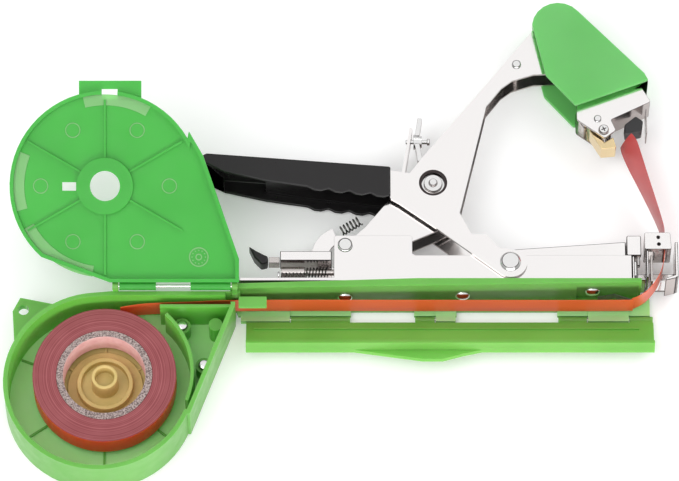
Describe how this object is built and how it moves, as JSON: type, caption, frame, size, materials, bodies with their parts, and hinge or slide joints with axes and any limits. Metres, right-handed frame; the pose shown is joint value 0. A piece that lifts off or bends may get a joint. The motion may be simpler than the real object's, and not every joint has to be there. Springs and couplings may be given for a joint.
{
  "type": "plant tying tape gun",
  "caption": "Hand-held garden tape and staple tying tool lying on its side, with its round tape case and channel cover hinged open.",
  "frame": {"origin": "centre of the bounding box's footprint, on the surface that the tool lies on", "axes": "+X from the tape case to the nose, +Y from the tape case up to the head, +Z out of the open side of the case"},
  "size_m": [0.2728, 0.2072, 0.0617],
  "materials": {
    "case_green": "moulded lime green plastic",
    "hub_tan": "tan moulded plastic",
    "core_card": "speckled grey board",
    "tape_red": "thin red plastic film",
    "frame_chrome": "bright chromed pressed steel",
    "pin_steel": "plated steel",
    "spring_steel": "dark spring wire",
    "inner_steel": "plain steel",
    "clinch_brass": "brass-coloured plating",
    "grip_vinyl": "smooth black dipped vinyl",
    "catch_black": "black plastic"
  },
  "bodies": {
    "frame": {"arm_pivot_pin": "pin_steel", "body_shell": "case_green", "brake_spring": "spring_steel", "channel_screw_1": "pin_steel", "channel_screw_2": "pin_steel", "channel_screw_3": "pin_steel", "cover_hinge_pin": "pin_steel", "flap_hinge_pin_1": "pin_steel", "flap_hinge_pin_2": "pin_steel", "flap_hinge_pin_3": "pin_steel", "front_bracket": "frame_chrome", "housing_screw_1": "pin_steel", "housing_screw_2": "pin_steel", "lever_pivot_pin": "pin_steel", "magazine": "frame_chrome", "magazine_cover": "frame_chrome", "main_frame": "frame_chrome", "nose_block": "frame_chrome", "nose_plate": "frame_chrome", "nose_tie": "frame_chrome", "pusher_spring": "spring_steel", "rear_stop": "frame_chrome", "return_spring": "spring_steel", "roll_hub": "hub_tan", "staple_strip": "inner_steel", "tape_guide": "frame_chrome", "tape_run": "tape_red", "tape_span": "tape_red"},
    "arm": {"upper_arm": "frame_chrome", "arm_rivet": "pin_steel", "head_cap": "case_green", "jaw_bracket": "frame_chrome", "jaw_rivet": "pin_steel", "jaw_rivet_front": "pin_steel", "jaw_screw": "pin_steel", "clincher": "clinch_brass", "jaw_guide": "frame_chrome", "cutter_blade": "inner_steel"},
    "handle": {"lever": "frame_chrome", "grip": "grip_vinyl", "cam_pin": "pin_steel", "adjuster_stud": "pin_steel"},
    "wing_nut": {"wing_nut": "pin_steel"},
    "tape_cover": {"tape_cover": "case_green"},
    "channel_cover": {"channel_cover": "case_green"},
    "roll": {"tape_core": "core_card", "tape_roll": "tape_red"},
    "pusher": {"feed_block": "frame_chrome", "pusher_tab": "inner_steel", "pusher_tip": "grip_vinyl", "pusher_rod": "inner_steel", "pusher": "inner_steel", "base_spring": "spring_steel", "spring_washer": "pin_steel"},
    "driver": {"driver": "inner_steel"},
    "catch": {"tape_catch": "catch_black"}
  },
  "joints": [
    {"name": "handle_pivot", "type": "hinge", "parent": "frame", "child": "handle", "pos_m": [0.06825, -0.01237, 0.0115], "axis": [0, 0, 1], "range_deg": [0, 14.5], "stiffness_Nm_per_rad": 0.3, "springref_deg": -8.59},
    {"name": "arm_pivot", "type": "hinge", "parent": "frame", "child": "arm", "pos_m": [0.00115, -0.00437, 0.0115], "axis": [0, 0, 1], "range_deg": [-17.4, 0], "deforming": ["tape_span", "return_spring"]},
    {"name": "cover_hinge", "type": "hinge", "parent": "frame", "child": "tape_cover", "pos_m": [-0.06835, -0.02517, 0.0248], "axis": [1, 0, 0], "range_deg": [0, 154]},
    {"name": "channel_cover_hinge", "type": "hinge", "parent": "frame", "child": "channel_cover", "pos_m": [0.04365, -0.02997, 0.0014], "axis": [-1, 0, 0], "range_deg": [0, 70]},
    {"name": "roll_spin", "type": "hinge", "parent": "frame", "child": "roll", "pos_m": [-0.09595, -0.06077, 0.0115], "axis": [0, 0, 1], "continuous": true},
    {"name": "pusher_slide", "type": "slide", "parent": "frame", "child": "pusher", "axis": [-1, 0, 0], "range_m": [0, 0.03], "stiffness_N_per_m": 20, "springref_m": -0.03, "deforming": ["pusher_spring"]},
    {"name": "driver_slide", "type": "slide", "parent": "frame", "child": "driver", "axis": [0, 1, 0], "range_m": [0, 0.005]},
    {"name": "catch_pivot", "type": "hinge", "parent": "arm", "child": "catch", "pos_m": [0.12065, 0.05383, 0.0115], "axis": [0, 0, 1], "range_deg": [0, 9], "stiffness_Nm_per_rad": 0.02, "springref_deg": -11.46},
    {"name": "wing_nut_turn", "type": "hinge", "parent": "handle", "child": "wing_nut", "pos_m": [0.03065, 0.04523, 0.0115], "axis": [1, 0, 0], "continuous": true}
  ],
  "couplings": [
    {"joint": "arm_pivot", "follows": "handle_pivot", "ratio": -1.2},
    {"joint": "driver_slide", "follows": "handle_pivot", "m_per_rad": 0.0197}
  ]
}
